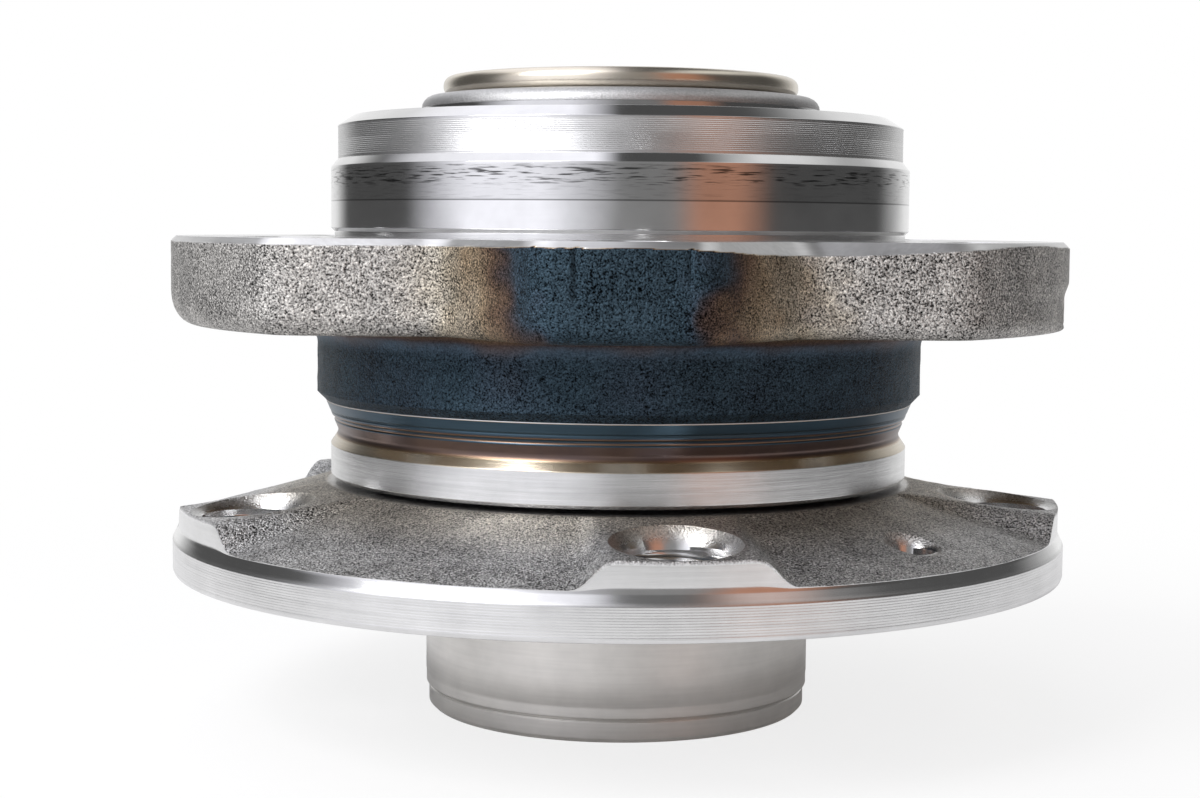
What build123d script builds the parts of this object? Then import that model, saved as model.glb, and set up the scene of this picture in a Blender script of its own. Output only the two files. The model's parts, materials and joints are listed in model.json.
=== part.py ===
from build123d import *
from math import cos, pi, radians, sin, tan
import os

# Flanged wheel hub bearing for a driven wheel: a forged outer ring that bolts to the steering
# knuckle, a forged hub that carries the brake disc and the wheel, and between them two rows of
# balls in angular contact, their cages, and a seal at each end. An inner ring pressed on the hub
# carries the inboard row, and the hub's end is rolled over it to hold the bearing together.
#
# Millimetres. Z is the wheel's axis and +Z points inboard, to the car. The origin is on the axis,
# in the flat face of the hub flange that the brake disc seats on. Angles are in degrees.

# Hub flange
wheel_flange_d = 131.0
rim_height = 4.6            # turned cylinder of the flange's rim
rim_edge = 0.4
rim_bevel = 0.85            # radial step of the bevel above the rim
rim_bevel_height = 1.6
wheel_bolt_edge = 9.5       # from the circle of the wheel bolts, 112 mm across, to the rim
wheel_bolt_count = 5
wheel_thread_d = 14.0       # M14 x 1.5, the hole at the thread's major diameter
wheel_mouth_d = 17.0
boss_top_width = 19.5
boss_side_angle = 41.0      # of a boss's flanks, from the vertical
boss_corner = 2.5
boss_rim_height = 9.9       # height of a boss's top at the rim
hub_face_height = 12.3      # turned face that runs against the outer ring's end
hub_face_d = 86.0
hub_turn = 7.0              # turn of the hub in the outer ring at rest
disc_screw_d = 6.0          # M6
disc_screw_mouth_d = 8.0
seat_relief_d = 84.0        # shallow relief inside the brake disc's seat
seat_relief = 0.6

# Wheel spigot and the pocket for the axle bolt's head
spigot_d = 57.1
spigot_length = 21.4
spigot_wall = 4.15
spigot_lead = 0.45          # the end is this much smaller in radius
spigot_lead_length = 3.1
spigot_edge = 0.6
spigot_root = 1.0           # undercut where the spigot meets the seat
spigot_root_depth = 0.3
pocket_floor = 6.5          # seat of the bolt's head, below the disc's seat
pocket_corner = 3.0

# Outer ring
pilot_d = 85.0
ring_gap = 0.7              # between the hub's face and the ring's end
ring_length = 52.5
ring_band = 4.9             # turned band at the outboard end
ring_band_step = 0.1        # the band is this much larger in radius than the pilot
ring_edge = 0.5
neck_step = 1.0             # the neck is this much smaller in radius than the pilot
neck_lead = 1.7             # height of the cone from the band into the neck
neck_round = 1.5
neck_flare = 1.9            # radial growth of the forged cone from the neck to the drum
neck_height = 4.8
drum_step = 2.05            # the forged drum is this much larger in radius than the pilot
drum_lead = 1.2
drum_root = 3.0             # fillet between the drum and the knuckle flange
bore_edge = 0.4

# Knuckle flange and pilot
flange_inset = 0.1          # the flange is this much smaller in radius than the hub flange
flange_width = 95.0         # across its two flats
flange_thickness = 12.4
flange_to_end = 17.5        # knuckle face to the inboard end
flange_chamfer = 1.2
flange_round = 2.5
flange_corner = 5.0         # in plan, where the flats meet the round sides
lug_tip_width = 20.0        # lug in the middle of each flat
lug_root_width = 46.0
lug_corner = 6.0
lug_root_round = 8.0
knuckle_bolt_edge = 11.4    # from the circle of the knuckle bolts, 108 mm across, to the edge
knuckle_bolt_count = 6
knuckle_thread_d = 12.0     # M12 x 1.5, the hole at the thread's major diameter
knuckle_mouth_d = 13.0
pilot_undercut = 0.5
pilot_undercut_height = 1.3
face_undercut = 0.6         # the undercut also relieves the flange's face, this far past the pilot
face_undercut_depth = 0.3
pilot_height = 10.1         # end of the ground pilot above the knuckle face
lead_step = 1.0             # the turned lead-in is this much smaller in radius
lead_cone = 1.2
end_cone = 2.2              # radial width of the end's chamfer
end_cone_height = 1.4

# Rows of balls
ball_d = 11.906             # 15/32 inch
ball_count = 14
row_spread = 28.0
contact_angle = 40.0
conformity = 0.52           # groove radius over ball diameter
ball_play = 0.03            # running clearance of a ball at its contacts
ring_wall = 5.5             # outer ring's wall over the bottom of a raceway
inner_wall = 3.0            # inner ring's wall under the bottom of its raceway
high_shoulder = 1.7         # from the pitch circle to the shoulders that take the thrust
low_shoulder = 4.3          # from the pitch circle to the inner raceways' open side
snap_shoulder = 0.3         # height of the outer raceways' open side

# Inner ring and rolled end
inner_ring_over = 3.1       # the inner ring's end beyond the outer ring's
inner_ring_under = 1.25     # its other end beyond the middle of the rows
inner_ring_round = 1.8
roll_over = 4.1             # reach of the rolled end over the inner ring
roll_height = 2.9
roll_mouth_d = 40.0
roll_mouth_depth = 5.0

# Splined bore
spline_count = 36
spline_major_d = 31.6
spline_minor_d = 29.7
spline_flank = 30.0
stub_bore_d = 32.4          # plain lead-in for the stub shaft
stub_bore_length = 6.0

# Cages
cage_play = 0.15            # clearance of a ball in its pocket
cage_heel = 0.85            # ring beyond the balls
cage_reach = 3.6            # prongs past the balls' centres
cage_land_gap = 1.1         # to the inner shoulder and to the outer ring

# Seals
seal_step = 0.2             # seal bore outside the bottom of the raceway
seal_width = 4.7
seal_setback = 0.2          # a seal stands this far inside the ring's end
steel_sheet = 0.6
encoder_thickness = 0.8
seal_air = 0.4              # between the fixed and the turning sheet steel
lip_play = 0.05
lip_edge = 0.35
land_round = 2.5            # round between the hub's shoulder and its face

pilot_r = pilot_d / 2
flange_d = wheel_flange_d - 2 * flange_inset
wheel_pcd = wheel_flange_d - 2 * wheel_bolt_edge
knuckle_pcd = flange_d - 2 * knuckle_bolt_edge
band_r = pilot_r + ring_band_step
neck_r = pilot_r - neck_step
drum_r = pilot_r + drum_step
lead_r = pilot_r - lead_step
ball_r = ball_d / 2
race_bottom_r = pilot_r - ring_wall
pitch_r = race_bottom_r - ball_r - ball_play
inner_seat_r = pitch_r - ball_r - ball_play - inner_wall
shoulder_r = pitch_r - high_shoulder
seal_bore_r = race_bottom_r + seal_step
spigot_r = spigot_d / 2
boss_face_r = wheel_flange_d / 2 - rim_bevel
hub_face_r = hub_face_d / 2

ring_start = hub_face_height + ring_gap
ring_end = ring_start + ring_length
knuckle_face = ring_end - flange_to_end
flange_under = knuckle_face - flange_thickness
row_middle = ring_start + ring_length / 2
outboard_row = row_middle - row_spread / 2
inboard_row = row_middle + row_spread / 2
inner_ring_start = row_middle + inner_ring_under
inner_ring_end = ring_end + inner_ring_over
roll_end = inner_ring_end + roll_height
spline_end = roll_end - roll_mouth_depth - stub_bore_length


def turned(*corners):
    """Solid of revolution about Z. A corner is (radius, height) or (radius, height, round)."""
    face = make_face(Polyline([corner[:2] for corner in corners], close=True))
    for corner in corners:
        if len(corner) == 3:
            face = fillet(face.vertices().sort_by_distance((corner[0], corner[1], 0))[0], corner[2])
    return revolve(Plane.XZ * face, Axis.Z)


def drill(radius, low, high):
    """Cylinder along Z between two heights."""
    return Pos(0, 0, low) * Cylinder(radius, high - low, align=(Align.CENTER, Align.CENTER, Align.MIN))


def sink(radius, mouth_r, mouth_height, over=2.0):
    """45 degree countersink that is mouth_r wide at mouth_height and opens upwards."""
    depth = mouth_r - radius + over
    cone = Cone(radius, mouth_r + over, depth, align=(Align.CENTER, Align.CENTER, Align.MIN))
    return Pos(0, 0, mouth_height + over - depth) * cone


def raceway(row, side, outward):
    """Torus that cuts a raceway. side is +1 inboard and -1 outboard; outward is +1 in the outer
    ring and -1 inside the balls. The groove's centre stands off the ball's, away from the contact."""
    groove_r = conformity * ball_d
    standoff = groove_r - ball_r - ball_play
    centre_r = pitch_r - outward * standoff * cos(radians(contact_angle))
    centre_z = row + outward * side * standoff * sin(radians(contact_angle))
    return Pos(0, 0, centre_z) * Torus(centre_r, groove_r)


def flange_outline():
    """Outline of the knuckle flange: a disc with two flats, and a tapered lug in the middle of each
    flat that reaches the disc's edge again."""
    disc = Circle(flange_d / 2)
    outline = disc & Rectangle(flange_d, flange_width)
    tip, root, flat = lug_tip_width / 2, lug_root_width / 2, flange_width / 2
    lug = Polygon((-tip, flange_d / 2), (-root, flat), (-root, 0), (root, 0), (root, flat), (tip, flange_d / 2),
                  align=None) & disc
    outline += [lug, Rot(0, 0, 180) * lug]
    at_flat = [corner for corner in outline.vertices() if abs(abs(corner.Y) - flat) < 0.01]
    side_corners = [corner for corner in at_flat if abs(corner.X) > root + 0.01]
    outline = fillet(side_corners, flange_corner)
    outline = fillet([corner for corner in outline.vertices() if abs(abs(corner.X) - root) < 0.01],
                     lug_root_round)
    at_tip = sorted(outline.vertices(), key=lambda corner: -abs(corner.Y))[:4]
    return fillet(at_tip, lug_corner)


def knuckle_flange():
    plate = Pos(0, 0, flange_under) * extrude(flange_outline(), flange_thickness)
    plate = chamfer(plate.faces().sort_by(Axis.Z)[-1].edges(), flange_chamfer)
    return fillet(plate.faces().sort_by(Axis.Z)[0].edges(), flange_round)


def outer_ring():
    neck = ring_start + ring_band + neck_lead
    drum = neck + neck_height + drum_lead
    lead = knuckle_face + pilot_height + lead_cone
    root_r = drum_r + drum_root + 0.1
    ring = turned(
        (0, ring_start), (band_r - ring_edge, ring_start), (band_r, ring_start + ring_edge),
        (band_r, ring_start + ring_band), (neck_r, neck, neck_round),
        (neck_r + neck_flare, drum - drum_lead), (drum_r, drum),
        (drum_r, flange_under, drum_root), (root_r, flange_under), (root_r, knuckle_face - flange_chamfer),
        (pilot_r - pilot_undercut, knuckle_face - flange_chamfer),
        (pilot_r - pilot_undercut, knuckle_face + pilot_undercut_height - pilot_undercut),
        (pilot_r, knuckle_face + pilot_undercut_height), (pilot_r, knuckle_face + pilot_height),
        (lead_r, lead), (lead_r, ring_end - end_cone_height), (lead_r - end_cone, ring_end), (0, ring_end))
    ring += knuckle_flange()
    ring -= turned(
        (pilot_r - pilot_undercut, knuckle_face - face_undercut_depth),
        (pilot_r + face_undercut - face_undercut_depth, knuckle_face - face_undercut_depth),
        (pilot_r + face_undercut, knuckle_face), (pilot_r - pilot_undercut, knuckle_face))

    open_r = race_bottom_r - snap_shoulder
    land_r = pitch_r + high_shoulder
    seal_depth = seal_setback + seal_width
    ring -= turned(
        (0, ring_start), (seal_bore_r + bore_edge, ring_start), (seal_bore_r, ring_start + bore_edge),
        (seal_bore_r, ring_start + seal_depth), (open_r, ring_start + seal_depth),
        (open_r, outboard_row), (land_r, outboard_row), (land_r, inboard_row), (open_r, inboard_row),
        (open_r, ring_end - seal_depth), (seal_bore_r, ring_end - seal_depth),
        (seal_bore_r, ring_end - bore_edge), (seal_bore_r + bore_edge, ring_end), (0, ring_end))
    ring -= raceway(outboard_row, -1, 1)
    ring -= raceway(inboard_row, 1, 1)

    hole = drill(knuckle_thread_d / 2, flange_under - 1, knuckle_face + 1)
    hole += sink(knuckle_thread_d / 2, knuckle_mouth_d / 2, knuckle_face)
    for location in PolarLocations(knuckle_pcd / 2, knuckle_bolt_count, start_angle=-90):
        ring -= location * hole
    return ring


def wheel_boss():
    """Ridge round a wheel bolt's hole, along +X: a trapezoid swept down the slope of its top."""
    half_top = boss_top_width / 2
    half_foot = half_top + hub_face_height * tan(radians(boss_side_angle))
    section = make_face(Polyline(
        (-half_foot, 0), (half_foot, 0), (half_top, hub_face_height), (-half_top, hub_face_height),
        close=True))
    section = fillet(section.vertices().group_by(Axis.Y)[-1], boss_corner)
    section = Plane(origin=(hub_face_r, 0, 0), x_dir=(0, 1, 0), z_dir=(1, 0, 0)) * section
    fall = Vector(boss_face_r - hub_face_r, 0, boss_rim_height - hub_face_height)
    return extrude(section, 1.2 * fall.length, dir=fall.normalized())


def hub_blank():
    """The turned form of the hub, without bosses, holes, raceway and bore."""
    face_slope = hub_face_r - shoulder_r
    barrel_r = pitch_r - low_shoulder
    roll_round = 0.48 * roll_height
    return turned(
        (0, -spigot_length), (spigot_r - spigot_lead - spigot_edge, -spigot_length),
        (spigot_r - spigot_lead, -spigot_length + spigot_edge),
        (spigot_r - spigot_lead, -spigot_length + spigot_lead_length),
        (spigot_r, -spigot_length + spigot_lead_length + spigot_lead), (spigot_r, -spigot_root),
        (spigot_r - spigot_root_depth, -spigot_root), (spigot_r - spigot_root_depth, seat_relief),
        (seat_relief_d / 2, seat_relief), (seat_relief_d / 2, 0),
        (wheel_flange_d / 2 - rim_edge, 0), (wheel_flange_d / 2, rim_edge),
        (wheel_flange_d / 2, rim_height), (boss_face_r, rim_height + rim_bevel_height),
        (hub_face_r, hub_face_height), (shoulder_r, hub_face_height, min(land_round, 0.9 * face_slope)),
        (shoulder_r, outboard_row), (barrel_r, outboard_row), (barrel_r, inner_ring_start),
        (inner_seat_r, inner_ring_start), (inner_seat_r, inner_ring_end),
        (inner_seat_r + roll_over, inner_ring_end, roll_round),
        (inner_seat_r + roll_over, roll_end, roll_round), (0, roll_end))


def spline_spaces():
    """The spaces between the spline's teeth, straight flanked and as wide as a tooth at mid height."""
    pitch = (spline_major_d + spline_minor_d) / 4
    half = pi * pitch / spline_count / 2
    inside, outside = spline_minor_d / 2 - 0.3, spline_major_d / 2
    lean = tan(radians(spline_flank))
    half_in, half_out = half + (pitch - inside) * lean, half - (outside - pitch) * lean
    space = make_face(Polyline(
        (inside, -half_in), (outside, -half_out), (outside, half_out), (inside, half_in), close=True))
    spaces = Sketch() + [location * space for location in PolarLocations(0, spline_count)]
    return Pos(0, 0, -pocket_floor - 1) * extrude(spaces, spline_end + pocket_floor + 1)


def hub_bore():
    """Everything that the axle takes out of the hub: pocket, spline's minor bore and mouth."""
    pocket_r = spigot_r - spigot_wall
    minor_r, lead_in_r = spline_minor_d / 2, spline_major_d / 2 + 0.5
    return turned(
        (0, -spigot_length), (pocket_r, -spigot_length), (pocket_r, -pocket_floor, pocket_corner),
        (lead_in_r, -pocket_floor), (minor_r, -pocket_floor + lead_in_r - minor_r),
        (minor_r, spline_end - 1), (stub_bore_d / 2, spline_end),
        (stub_bore_d / 2, spline_end + stub_bore_length), (roll_mouth_d / 2, roll_end), (0, roll_end))


def wheel_hub():
    hub = hub_blank()
    envelope = drill(boss_face_r, rim_height / 2, hub_face_height)
    slope = (hub_face_height - boss_rim_height) / (boss_face_r - hub_face_r)
    boss = wheel_boss() & envelope
    boss_height = hub_face_height - slope * (wheel_pcd / 2 - hub_face_r)
    hole = drill(wheel_thread_d / 2, -1, hub_face_height + 1)
    hole += sink(wheel_thread_d / 2, wheel_mouth_d / 2, boss_height)
    for location in PolarLocations(0, wheel_bolt_count):
        hub += location * boss
    for location in PolarLocations(wheel_pcd / 2, wheel_bolt_count):
        hub -= location * hole

    cone_slope = (hub_face_height - rim_height - rim_bevel_height) / (boss_face_r - hub_face_r)
    screw_height = hub_face_height - cone_slope * (wheel_pcd / 2 - hub_face_r)
    screw = drill(disc_screw_d / 2, -1, hub_face_height)
    screw += sink(disc_screw_d / 2, disc_screw_mouth_d / 2, screw_height)
    hub -= Rot(0, 0, 180 / wheel_bolt_count) * Pos(wheel_pcd / 2, 0, 0) * screw

    hub -= raceway(outboard_row, -1, -1)
    hub -= hub_bore()
    hub -= spline_spaces()
    return Rot(0, 0, hub_turn - 90) * hub


def inner_ring():
    ring = turned(
        (inner_seat_r, inner_ring_start), (pitch_r - low_shoulder, inner_ring_start),
        (pitch_r - low_shoulder, inboard_row), (shoulder_r, inboard_row),
        (shoulder_r, inner_ring_end, inner_ring_round), (inner_seat_r, inner_ring_end))
    return ring - raceway(inboard_row, 1, -1)


def balls(row):
    return [location * Sphere(ball_r) for location in (Pos(0, 0, row) * PolarLocations(pitch_r, ball_count))]


def cage(row, side):
    """Snap cage: a heel ring beyond the balls and prongs that reach past their centres, with a
    spherical pocket for each ball."""
    inner, outer = shoulder_r + cage_land_gap, race_bottom_r - snap_shoulder - cage_land_gap
    heel = ball_r + cage_heel
    prong = (outer - inner) / 2
    profile = [(pitch_r - prong, -cage_reach), (pitch_r + prong, -cage_reach), (outer, cage_reach / 2),
               (outer, heel), (inner, heel), (inner, cage_reach / 2)]
    ring = turned(*[(radius, row + side * height) for radius, height in profile])
    pocket = Sphere(ball_r + cage_play)
    for location in PolarLocations(pitch_r, ball_count):
        ring -= Pos(0, 0, row) * location * pocket
    return ring


def seal_case(end, side):
    """Steel case pressed into the seal bore: a sleeve with a leg inwards on the balls' side."""
    mouth = end - side * seal_setback
    leg = mouth - side * seal_width
    leg_r = shoulder_r + (seal_bore_r - shoulder_r) / 3
    return turned(
        (leg_r, leg), (seal_bore_r, leg), (seal_bore_r, mouth), (seal_bore_r - steel_sheet, mouth),
        (seal_bore_r - steel_sheet, leg + side * steel_sheet), (leg_r, leg + side * steel_sheet))


def seal_lips(end, side, run_r, face):
    """Rubber on the case's leg: a grease lip and a dust lip towards the cylinder of radius run_r,
    and an outer lip towards the face at height face."""
    leg_r = shoulder_r + (seal_bore_r - shoulder_r) / 3
    back = end - side * (seal_setback + seal_width - steel_sheet)
    front = face - side * lip_play
    touch_r = run_r + lip_play
    reach = abs(front - back)
    root = 0.3 * reach
    outer_r = seal_bore_r - steel_sheet - seal_air
    profile = [
        (leg_r, -steel_sheet), (leg_r, 0), (outer_r - reach / 2, 0), (outer_r - reach / 2, root),
        (outer_r, reach), (outer_r - lip_edge, reach), (outer_r - reach / 2 - lip_edge * 2, root * 1.2),
        (leg_r, root * 1.2), (touch_r + lip_edge, 0.5 * reach), (touch_r, 0.42 * reach),
        (leg_r - 2 * lip_edge, root / 2), (leg_r - 2 * lip_edge, -steel_sheet / 2),
        (touch_r, -steel_sheet), (touch_r + lip_edge, -steel_sheet - lip_edge / 2)]
    return turned(*[(radius, back + side * height) for radius, height in profile])


def slinger():
    """Steel ring pressed on the inner ring: a sleeve with a leg outwards over the seal."""
    top = ring_end - seal_setback - encoder_thickness
    start = ring_end - seal_setback - seal_width
    leg_r = seal_bore_r - steel_sheet - seal_air
    return turned(
        (shoulder_r, start), (shoulder_r + steel_sheet, start), (shoulder_r + steel_sheet, top - steel_sheet),
        (leg_r, top - steel_sheet), (leg_r, top), (shoulder_r, top))


def encoder():
    """Magnetised rubber disc on the slinger, read by the wheel speed sensor."""
    top = ring_end - seal_setback
    leg_r = seal_bore_r - steel_sheet - seal_air
    return turned(
        (shoulder_r + steel_sheet, top - encoder_thickness), (leg_r, top - encoder_thickness),
        (leg_r, top), (shoulder_r + steel_sheet, top))


slinger_leg = ring_end - seal_setback - encoder_thickness - steel_sheet

parts = {
    "outer_ring": outer_ring(),
    "wheel_hub": wheel_hub(),
    "inner_ring": inner_ring(),
    "outboard_cage": cage(outboard_row, -1),
    "inboard_cage": cage(inboard_row, 1),
    "outboard_seal_case": seal_case(ring_start, -1),
    "outboard_seal_lips": seal_lips(ring_start, -1, shoulder_r, hub_face_height),
    "inboard_seal_case": seal_case(ring_end, 1),
    "inboard_seal_lips": seal_lips(ring_end, 1, shoulder_r + steel_sheet, slinger_leg),
    "inboard_slinger": slinger(),
    "encoder_ring": encoder(),
}
for name, row in (("outboard", outboard_row), ("inboard", inboard_row)):
    for number, ball in enumerate(balls(row), 1):
        parts[f"{name}_ball_{number:02d}"] = ball

os.makedirs("parts", exist_ok=True)
for name, shape in parts.items():
    export_step(shape, f"parts/{name}.step")
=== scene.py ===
"""Looks of the flanged wheel hub bearing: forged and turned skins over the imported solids, the
finishes of its steels, rubbers and cages, and a white table in soft light.

Shapes are worked out in millimetres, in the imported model's frame, and become metres in the meshes.
Angles are in degrees about +Z from +X. The bearing stands on its spigot, its knuckle side up."""

import json
from itertools import product

import bmesh
import bpy
import numpy as np
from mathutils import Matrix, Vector


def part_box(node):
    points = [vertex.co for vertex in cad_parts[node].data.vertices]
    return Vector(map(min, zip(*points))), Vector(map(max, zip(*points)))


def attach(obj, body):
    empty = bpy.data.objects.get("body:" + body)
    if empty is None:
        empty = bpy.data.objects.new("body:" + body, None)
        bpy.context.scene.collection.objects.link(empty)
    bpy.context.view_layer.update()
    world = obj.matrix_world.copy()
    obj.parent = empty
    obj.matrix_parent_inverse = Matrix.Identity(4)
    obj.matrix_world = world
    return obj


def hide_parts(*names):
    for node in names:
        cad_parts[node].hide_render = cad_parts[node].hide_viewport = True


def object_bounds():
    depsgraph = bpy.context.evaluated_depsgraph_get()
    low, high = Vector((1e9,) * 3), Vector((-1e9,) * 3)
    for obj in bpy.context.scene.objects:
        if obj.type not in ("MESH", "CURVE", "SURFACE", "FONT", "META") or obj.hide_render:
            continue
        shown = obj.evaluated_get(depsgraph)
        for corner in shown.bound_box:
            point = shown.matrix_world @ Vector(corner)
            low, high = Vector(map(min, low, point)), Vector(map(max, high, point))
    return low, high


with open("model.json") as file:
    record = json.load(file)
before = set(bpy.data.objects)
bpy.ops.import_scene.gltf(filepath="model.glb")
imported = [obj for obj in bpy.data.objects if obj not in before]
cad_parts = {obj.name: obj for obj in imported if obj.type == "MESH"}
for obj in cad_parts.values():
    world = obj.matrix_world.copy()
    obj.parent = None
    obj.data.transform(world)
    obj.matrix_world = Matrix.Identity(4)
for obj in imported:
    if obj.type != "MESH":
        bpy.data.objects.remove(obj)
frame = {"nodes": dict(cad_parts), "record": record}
cad_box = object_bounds()

MM = 0.001
WELD = 2e-5                    # points closer than this, in mm, are one
# Marks of a skin; the second is a tint, part oxide tint and part painted reflection
MARKS = ("forged", "temper", "rough", "lines")

mounts = {mount["name"]: mount for mount in frame["record"]["mounts"]}
low_point, high_point = (np.array(corner) / MM for corner in cad_box)

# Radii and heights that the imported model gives
pilot_r = mounts["knuckle_pilot"]["dims"]["r_mm"]
spigot_r = mounts["wheel_spigot"]["dims"]["r_mm"]
wheel_bolts = mounts["wheel_bolts"]["dims"]
knuckle_bolts = mounts["knuckle_bolts"]["dims"]
screw_r = mounts["disc_screw"]["dims"]["r_mm"]
stub_r = mounts["stub_shaft_bore"]["dims"]["r_mm"]
knuckle_face = mounts["knuckle_face"]["pos_m"][2] / MM
rim_r = (high_point[0] - low_point[0]) / 2
ring_low, ring_high = (corner[2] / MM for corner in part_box("outer_ring"))
inner_low, inner_high = (corner[2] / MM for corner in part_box("inner_ring"))
shoulder_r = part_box("inner_ring")[1][0] / MM
ball_r = (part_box("inboard_ball_01")[1][2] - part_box("inboard_ball_01")[0][2]) / 2 / MM
rows = {side: sum(corner[2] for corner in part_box(f"{side}_ball_01")) / 2 / MM
        for side in ("outboard", "inboard")}
pitch_r = sum(corner[0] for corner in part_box("outboard_ball_01")) / 2 / MM
hub_low, hub_high = low_point[2], high_point[2]

# Knuckle flange
flange_r = 65.4
flange_flat = 47.5
flange_low = knuckle_face - 12.4
lug_tip, lug_root = 10.0, 23.0
drum_r, drum_low, drum_root = 44.55, 25.6, 3.0
fillet_r = drum_r + drum_root
relief_r = pilot_r + 0.6       # where the flange's upper face starts
pilot_rise = 10.1              # top of the pilot over that face
neck_top_r, neck_top = 43.4, 24.4
ring_core_r = 41.0             # hidden joint between the forged and the turned skin

# Hub
face_r, face_height = 43.0, 12.3
bevel_r, bevel_low, bevel_high = 64.65, 4.6, 6.2
boss_rim_height, boss_half_width, boss_flank = 9.9, 9.75, 41.0
hub_turn = -83.0               # angle of the first wheel bolt
hub_core_r = 34.0
seat_relief_r, seat_relief = 42.0, 0.6
mouth_r, screw_mouth_r = 8.5, 4.0
barrel_r = pitch_r - 4.3       # between the two inner raceways
inner_seat_r = 22.03
thread_pitch = 1.5

# Seals
seal_bore_r, seal_deep = 37.2, 4.9
sheet = 0.6
case_leg_r = shoulder_r + (seal_bore_r - shoulder_r) / 3
slinger_r = seal_bore_r - 1.0
slinger_high, encoder_high = ring_high - 1.0, ring_high - 0.2

# Steps of the skins
ring_columns = 780
hub_columns = 720
shaft_columns = 360
outer_columns = 300
turned_columns = 240
sharp_edge = 32.0              # degrees between two faces, past which their edge is sharp
arc_step = 22.0                # degrees of a corner's arc to one step
straight = 1.38                # half of a corner's opening in radians, past which it has no arc


# ---------------------------------------------------------------- numbers and curves

def unit(x, low, high):
    """0 below low, 1 above high, and 3t^2 - 2t^3 between them."""
    t = np.clip((x - low) / (high - low), 0, 1)
    return t * t * (3 - 2 * t)


def hump(x, middle, width):
    """1 at the middle, falling to 0 at a width to each side; x is an angle in degrees."""
    away = np.abs((x - middle + 180) % 360 - 180)
    return 1 - unit(away, 0, width)


def soft_max(a, b, blend):
    """The larger of two heights, with a round where they are within blend of each other."""
    share = np.clip(blend - np.abs(a - b), 0, None) / blend
    return np.maximum(a, b) + share ** 2 * blend / 4


def soft_min(a, b, blend):
    """The smaller of two heights, with the same round."""
    return -soft_max(-a, -b, blend)


def noise(points, size, seed=0):
    """Value noise from -1 to 1: a random number at each corner of a lattice of that size, blended
    across each cell by 3t^2 - 2t^3."""
    place = points / size + 31.7 * seed
    cell = np.floor(place)
    t = place - cell
    t = t * t * (3 - 2 * t)
    cell = cell.astype(np.int64)
    total = np.zeros(points.shape[:-1])
    for corner in product((0, 1), repeat=3):
        key = (cell + corner) * (73856093, 19349663, 83492791)
        key = (key[..., 0] ^ key[..., 1] ^ key[..., 2]) & 0xFFFFFFFF
        key = (key ^ key >> 13) * 1274126177 & 0xFFFFFFFF
        key = (key ^ key >> 16) * 668265263 & 0xFFFFFFFF
        weight = np.prod(np.where(corner, t, 1 - t), axis=-1)
        total += weight * ((key >> 8) % 65536 / 32767.5 - 1)
    return total


def around(radius, angle, height):
    """Points at (r cos a, r sin a, z), with the three broadcast together."""
    radius, angle, height = np.broadcast_arrays(radius, np.radians(angle), height)
    return np.stack([radius * np.cos(angle), radius * np.sin(angle), height], -1)


def full_turn(columns, start=0.0):
    """Angles round a full turn, the last of them the first again."""
    return start + 360.0 / columns * np.arange(columns + 1)


def closed(points):
    """A grid whose last column is its first again, to the last digit."""
    points[:, -1] = points[:, 0]
    return points


def dents(points, seed=0):
    """Height of a blasted forging's skin in mm: broad waves, lumps and grains."""
    return (0.08 * noise(points, 7.0, seed) + 0.03 * noise(points, 2.4, seed + 1)
            + 0.03 * noise(points, 1.1, seed + 2))


def steady(value):
    """A function of radius or angle that has this value everywhere."""
    return lambda place, *others: value + 0 * place


# ---------------------------------------------------------------- meshes

class Skin:
    """Grids of points that are welded into one closed mesh."""

    def __init__(self):
        self.points, self.quads, self.marks, self.count = [], [], [], 0

    def add(self, points, **marks):
        """A grid, rows by columns by (x, y, z), with the marks its finish is read from."""
        height, width = points.shape[:2]
        index = self.count + np.arange(height * width).reshape(height, width)
        quads = np.stack([index[:-1, :-1], index[1:, :-1], index[1:, 1:], index[:-1, 1:]], -1)
        values = [np.broadcast_to(marks.get(mark, 0.0), (height, width)).ravel() for mark in MARKS]
        self.quads.append(quads.reshape(-1, 4))
        self.points.append(points.reshape(-1, 3))
        self.marks.append(np.stack(values, -1))
        self.count += height * width

    def piece(self, name, body, slot, finish, *replaced):
        """The mesh's object, which rides on a body and stands for CAD nodes."""
        points, quads = np.concatenate(self.points), np.concatenate(self.quads)
        keys = np.round(points / WELD).astype(np.int64)
        _, first, joined = np.unique(keys, axis=0, return_index=True, return_inverse=True)
        quads = joined.reshape(-1)[quads]
        marks = np.concatenate(self.marks)[first]

        mesh = bpy.data.meshes.new(name)
        mesh.vertices.add(len(first))
        mesh.vertices.foreach_set("co", (points[first] * MM).ravel())
        mesh.loops.add(quads.size)
        mesh.loops.foreach_set("vertex_index", quads.ravel())
        mesh.polygons.add(len(quads))
        mesh.polygons.foreach_set("loop_start", np.arange(0, quads.size, 4))
        mesh.update(calc_edges=True)
        mesh.validate()
        for column, mark in enumerate(MARKS):
            attribute = mesh.attributes.new(mark, "FLOAT", "POINT")
            attribute.data.foreach_set("value", marks[:, column].astype(np.float32))
        shape = bmesh.new()
        shape.from_mesh(mesh)
        bmesh.ops.recalc_face_normals(shape, faces=shape.faces)
        shape.to_mesh(mesh)
        shape.free()
        mesh.polygons.foreach_set("use_smooth", np.ones(len(mesh.polygons), bool))
        mesh.set_sharp_from_angle(angle=np.radians(sharp_edge))
        mesh.materials.append(finish)

        piece = bpy.data.objects.new(name, mesh)
        bpy.context.scene.collection.objects.link(piece)
        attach(piece, body)
        if replaced:
            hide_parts(*replaced)
        return piece


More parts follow.
